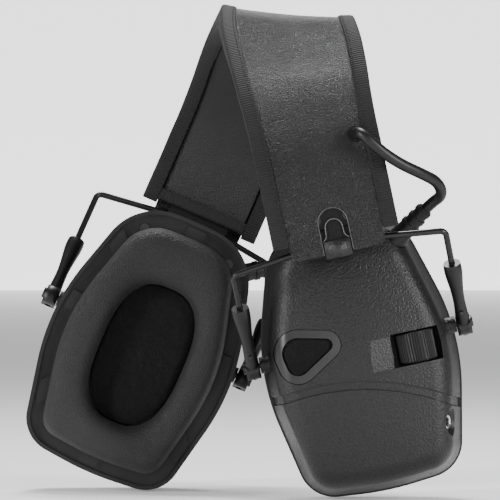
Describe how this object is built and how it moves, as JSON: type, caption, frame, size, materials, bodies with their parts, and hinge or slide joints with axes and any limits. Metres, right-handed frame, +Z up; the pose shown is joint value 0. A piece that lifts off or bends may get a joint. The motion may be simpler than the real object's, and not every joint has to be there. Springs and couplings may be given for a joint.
{
  "type": "earmuff hearing protector",
  "caption": "Electronic over-ear hearing protector: padded leatherette headband, bent-wire yokes, sliding arms, tapered cups with cushions, volume wheel and battery door.",
  "frame": {"origin": "on the floor plane, below the middle of the bounding box, with the part standing on the lower rims of both cups", "axes": "+X towards the wearer's left cup, -X towards the right cup, +Y towards the wearer's back, +Z up"},
  "size_m": [0.1614, 0.1814, 0.1992],
  "materials": {
    "band_leather": "fine pebbled black leatherette",
    "lining_leather": "smooth padded black leatherette",
    "band_foam": "open-cell foam",
    "binding": "ribbed black webbing",
    "spring_steel": "black-coated tempered strip",
    "cable": "smooth black jacket",
    "cable_boot": "matte moulded rubber",
    "black_trim": "moulded black",
    "clip_plastic": "moulded black, stippled",
    "dark_steel": "black oxide wire",
    "arm_plastic": "satin black",
    "pin_steel": "black oxide, turned",
    "housing": "fine-grain charcoal",
    "shell_plastic": "black",
    "cushion": "smooth matte leatherette over foam",
    "ear_foam": "fuzzy black acoustic foam",
    "mic_foam": "fuzzy black wind foam",
    "bezel": "smooth satin black",
    "circuit_board": "solder mask",
    "jack_metal": "plated socket",
    "cell_wrap": "plain wrap"
  },
  "bodies": {
    "headband": {"headband_cover": "band_leather", "headband_foam": "band_foam", "headband_lining": "lining_leather", "edge_binding_front": "binding", "edge_binding_rear": "binding", "end_tapes": "binding", "spring_band": "spring_steel", "band_wire": "cable", "cable_eyelets": "black_trim", "clip_rivets": "dark_steel", "end_clip_left": "clip_plastic", "end_clip_right": "clip_plastic", "link_cable_left": "cable", "link_cable_right": "cable"},
    "yoke_left": {"yoke_wire_left": "dark_steel"},
    "arms_left": {"arm_rear_left": "arm_plastic", "arm_front_left": "arm_plastic", "pivot_pins_left": "pin_steel", "arm_clips_left": "pin_steel"},
    "cup_left": {"outer_housing_left": "housing", "inner_shell_left": "shell_plastic", "cushion_plate_left": "shell_plastic", "ear_cushion_left": "cushion", "ear_foam_left": "ear_foam", "speaker_left": "black_trim", "shell_screws_left": "dark_steel", "mic_bezel_left": "bezel", "mic_foam_left": "mic_foam", "mic_capsule_left": "pin_steel", "strain_relief_left": "cable_boot", "lower_cover_left": "housing", "potentiometer": "black_trim", "main_board": "circuit_board", "aux_jack": "jack_metal"},
    "yoke_right": {"yoke_wire_right": "dark_steel"},
    "arms_right": {"arm_rear_right": "arm_plastic", "arm_front_right": "arm_plastic", "pivot_pins_right": "pin_steel", "arm_clips_right": "pin_steel"},
    "cup_right": {"outer_housing_right": "housing", "inner_shell_right": "shell_plastic", "cushion_plate_right": "shell_plastic", "ear_cushion_right": "cushion", "ear_foam_right": "ear_foam", "speaker_right": "black_trim", "shell_screws_right": "dark_steel", "mic_bezel_right": "bezel", "mic_foam_right": "mic_foam", "mic_capsule_right": "pin_steel", "strain_relief_right": "cable_boot", "battery_tray": "shell_plastic", "battery_cells": "cell_wrap", "battery_contacts": "pin_steel", "door_pin": "pin_steel"},
    "thumbwheel": {"volume_thumbwheel": "black_trim"},
    "battery_door": {"battery_door": "housing"}
  },
  "joints": [
    {"name": "fold_left", "type": "hinge", "parent": "headband", "child": "yoke_left", "pos_m": [0.06722, 0.03576, 0.10196], "axis": [0, -0.9781, -0.2079], "range_deg": [-40, 15], "deforming": ["link_cable_left"]},
    {"name": "height_left", "type": "slide", "parent": "yoke_left", "child": "arms_left", "axis": [0.4695, -0.1836, 0.8637], "range_m": [-0.014, 0.008], "deforming": ["link_cable_left"]},
    {"name": "tilt_left", "type": "hinge", "parent": "arms_left", "child": "cup_left", "pos_m": [0.04162, 0.04435, 0.06153], "axis": [0, -0.9781, -0.2079], "range_deg": [-8, 10], "deforming": ["link_cable_left"]},
    {"name": "volume_turn", "type": "hinge", "parent": "cup_left", "child": "thumbwheel", "pos_m": [0.05222, 0.06749, 0.06134], "axis": [0, -0.2079, 0.9781], "range_deg": [0, 270]},
    {"name": "fold_right", "type": "hinge", "parent": "headband", "child": "yoke_right", "pos_m": [-0.06721, -0.02157, 0.10774], "axis": [0, -0.9171, 0.3987], "range_deg": [-15, 40], "deforming": ["link_cable_right"]},
    {"name": "height_right", "type": "slide", "parent": "yoke_right", "child": "arms_right", "axis": [0.4695, -0.3521, -0.8097], "range_m": [-0.017, 0.005], "deforming": ["link_cable_right"]},
    {"name": "tilt_right", "type": "hinge", "parent": "arms_right", "child": "cup_right", "pos_m": [-0.0373, -0.04128, 0.06241], "axis": [0, -0.9171, 0.3987], "range_deg": [-10, 8], "deforming": ["link_cable_right"]},
    {"name": "door_open", "type": "hinge", "parent": "cup_right", "child": "battery_door", "pos_m": [-0.0285, -0.06377, 0.01068], "axis": [0, -0.9171, 0.3987], "range_deg": [0, 75]}
  ]
}
